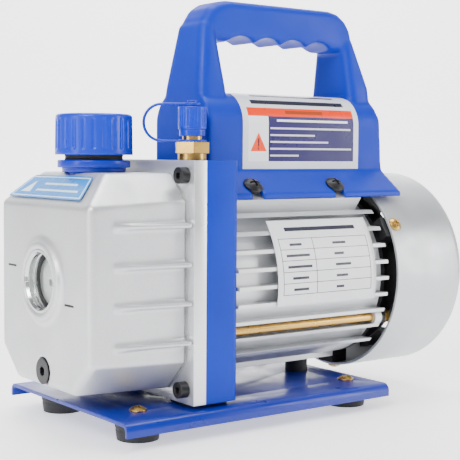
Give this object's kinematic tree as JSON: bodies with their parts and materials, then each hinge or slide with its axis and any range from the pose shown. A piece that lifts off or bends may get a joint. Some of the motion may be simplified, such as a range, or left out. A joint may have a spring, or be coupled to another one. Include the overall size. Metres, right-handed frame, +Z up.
{
  "type": "hvac vacuum pump",
  "caption": "Portable rotary vane vacuum pump with oil case and sight glass, finned electric motor, fan cowl, carrying handle and base on rubber feet.",
  "frame": {"origin": "bottom centre of the bounding box, on the floor under the rubber feet", "axes": "+X from the oil case to the fan cowl along the shaft, +Z up, +Y to the right-hand side seen from the fan end"},
  "size_m": [0.257, 0.126, 0.2305],
  "materials": {
    "gloss_blue": "gloss",
    "rubber": "matt",
    "brass": "satin",
    "steel": "satin",
    "cast_alu": "matt cast",
    "gasket": "matt",
    "black_steel": "black oxide",
    "glass": "clear",
    "chrome": "bright",
    "reflector": "satin",
    "blue_plastic": "gloss",
    "cap_blue": "gloss",
    "filter": "felt",
    "plate_steel": "fine ground",
    "bracket_blue": "satin powder coat",
    "iron": "machined",
    "vane": "carbon fibre composite",
    "lamination": "laminated",
    "alu": "extruded",
    "copper": "varnished wire",
    "black_plastic": "moulded",
    "cowl_paint": "satin silver",
    "handle_blue": "fine texture",
    "label": "printed film"
  },
  "bodies": {
    "pump": {"base_plate": "gloss_blue", "rubber_feet": "rubber", "foot_screws": "brass", "front_mount_pads": "rubber", "front_mount_screws": "steel", "motor_support_post": "rubber", "post_screw": "steel", "oil_case": "cast_alu", "case_gasket": "gasket", "case_screws": "black_steel", "plate_screws": "black_steel", "sight_glass_lens": "glass", "sight_glass_ring": "chrome", "sight_glass_seal": "rubber", "sight_glass_reflector": "reflector", "fill_neck": "blue_plastic", "exhaust_filter": "filter", "pump_plate": "plate_steel", "front_bracket": "bracket_blue", "inlet_fitting": "brass", "pump_cylinder": "iron", "cylinder_end_cover": "iron", "cylinder_bolts": "black_steel", "valve_stop": "steel", "valve_screws": "steel", "shaft_seal": "rubber", "stator_core": "lamination", "stator_windings": "copper", "bearing_outer_rings": "steel", "motor_housing": "alu", "rear_end_shield": "black_steel", "tie_rods": "brass", "fan_cowl": "cowl_paint", "cowl_screws": "brass", "carry_handle": "handle_blue", "handle_screws": "black_steel", "capacitor": "black_plastic", "capacitor_clamp": "steel", "power_inlet": "black_plastic", "inlet_pins": "steel", "switch_bezel": "black_plastic", "motor_label": "label"},
    "rotating_group": {"pump_rotor": "steel", "shaft_coupling": "steel", "motor_shaft": "steel", "rotor_core": "lamination", "rotor_end_rings": "alu", "bearing_inner_rings": "steel", "cooling_fan": "black_plastic"},
    "vane_a": {"vane_a": "vane"},
    "vane_b": {"vane_b": "vane"},
    "reed": {"exhaust_valve_reed": "steel"},
    "fill_cap_seal": {"fill_cap_seal": "rubber"},
    "fill_cap": {"fill_cap": "cap_blue"},
    "tether": {"dust_cap_tether": "cap_blue"},
    "dust_cap": {"dust_cap": "cap_blue"},
    "drain_seal": {"drain_plug_seal": "gasket"},
    "drain_plug": {"drain_plug": "black_steel"},
    "rocker": {"rocker_switch": "black_plastic"}
  },
  "joints": [
    {"name": "shaft_spin", "type": "hinge", "parent": "pump", "child": "rotating_group", "pos_m": [0, 0, 0.0743], "axis": [1, 0, 0], "continuous": true},
    {"name": "vane_a_slide", "type": "slide", "parent": "rotating_group", "child": "vane_a", "axis": [0, 1, 0], "range_m": [0, 0.003]},
    {"name": "vane_b_slide", "type": "slide", "parent": "rotating_group", "child": "vane_b", "axis": [0, -1, 0], "range_m": [0, 0.003]},
    {"name": "reed_flex", "type": "hinge", "parent": "pump", "child": "reed", "pos_m": [-0.083, -0.004, 0.1025], "axis": [1, 0, 0], "range_deg": [0, 8], "stiffness_Nm_per_rad": 0.02},
    {"name": "fill_cap_turn", "type": "hinge", "parent": "fill_cap_seal", "child": "fill_cap", "pos_m": [-0.0951, 0, 0.15], "axis": [0, 0, 1], "range_deg": [0, 1440]},
    {"name": "fill_cap_lift", "type": "slide", "parent": "pump", "child": "fill_cap_seal", "axis": [0, 0, 1], "range_m": [0, 0.012]},
    {"name": "dust_cap_turn", "type": "hinge", "parent": "tether", "child": "dust_cap", "pos_m": [-0.0527, -0.0299, 0.16], "axis": [0, 0, 1], "range_deg": [0, 2880]},
    {"name": "dust_cap_lift", "type": "slide", "parent": "pump", "child": "tether", "axis": [0, 0, 1], "range_m": [0, 0.0102], "deforming": ["dust_cap_tether"]},
    {"name": "drain_plug_turn", "type": "hinge", "parent": "drain_seal", "child": "drain_plug", "pos_m": [-0.12, 0, 0.0319], "axis": [-1, 0, 0], "range_deg": [0, 3240]},
    {"name": "drain_plug_out", "type": "slide", "parent": "pump", "child": "drain_seal", "axis": [-1, 0, 0], "range_m": [0, 0.0136]},
    {"name": "power_rocker", "type": "hinge", "parent": "pump", "child": "rocker", "pos_m": [0.083, 0.015, 0.156], "axis": [0, 1, 0], "range_deg": [0, 20]}
  ],
  "couplings": [
    {"joint": "fill_cap_lift", "follows": "fill_cap_turn", "m_per_rad": 0.00046155},
    {"joint": "dust_cap_lift", "follows": "dust_cap_turn", "m_per_rad": 0.00020213},
    {"joint": "drain_plug_out", "follows": "drain_plug_turn", "m_per_rad": 0.00023873}
  ]
}
